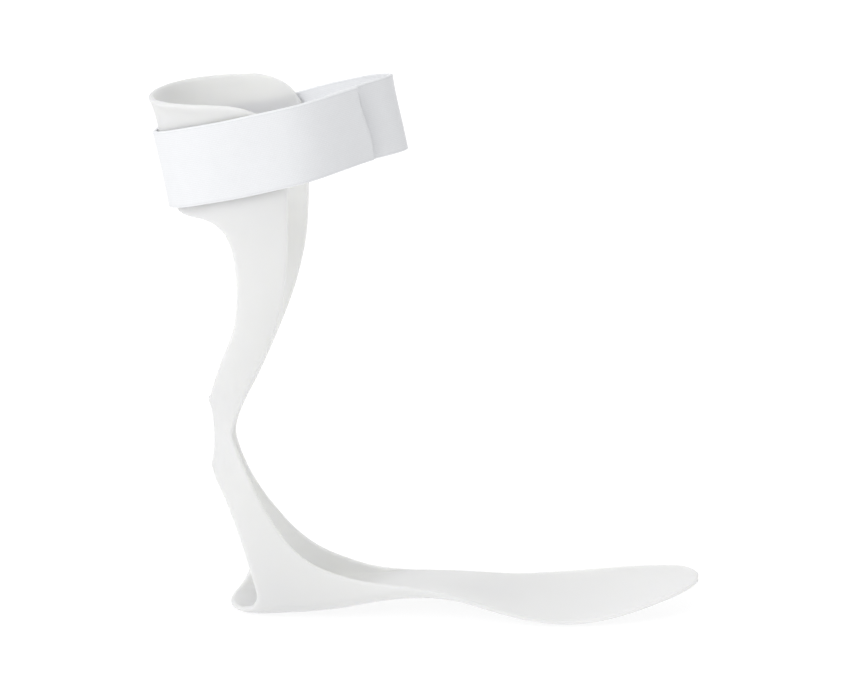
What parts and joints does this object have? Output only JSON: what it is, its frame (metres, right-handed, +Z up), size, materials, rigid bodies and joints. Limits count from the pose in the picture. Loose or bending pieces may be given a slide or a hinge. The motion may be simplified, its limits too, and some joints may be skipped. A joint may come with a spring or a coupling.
{
  "type": "ankle foot orthosis",
  "caption": "Moulded posterior leaf-spring ankle foot orthosis for a left foot, with an open heel, two calf struts and a strap round the calf cuff.",
  "frame": {"origin": "centre of the part's outline seen from above, on the floor under the sole", "axes": "+X from heel to toe, +Y to the lateral side of the left foot, +Z up"},
  "size_m": [0.288, 0.1062, 0.2869],
  "materials": {
    "shell": "satin translucent natural polypropylene",
    "strap": "soft brushed loop fabric",
    "hook": "moulded hook tape"
  },
  "bodies": {
    "foot": {"foot_shell": "shell"},
    "calf": {"calf_shell": "shell", "strap_band": "strap", "hook_patch_medial": "hook", "hook_patch_lateral": "hook"},
    "front": {"strap_front": "strap"},
    "tail": {"strap_tail": "strap", "tail_hook": "hook"}
  },
  "joints": [
    {"name": "ankle_flex", "type": "hinge", "parent": "foot", "child": "calf", "pos_m": [-0.10733, 0, 0.095], "axis": [0, 1, 0], "range_deg": [-12, 15], "stiffness_Nm_per_rad": 12},
    {"name": "front_swing", "type": "hinge", "parent": "calf", "child": "front", "pos_m": [-0.06412, 0.05104, 0.25036], "axis": [-0.2866, 0.1001, 0.9528], "range_deg": [0, 50]},
    {"name": "tail_peel", "type": "hinge", "parent": "calf", "child": "tail", "pos_m": [-0.06412, -0.05092, 0.25696], "axis": [0.2193, 0.0872, -0.9717], "range_deg": [0, 110]}
  ],
  "couplings": [
    {"joint": "tail_peel", "follows": "front_swing", "ratio": 2.2}
  ]
}
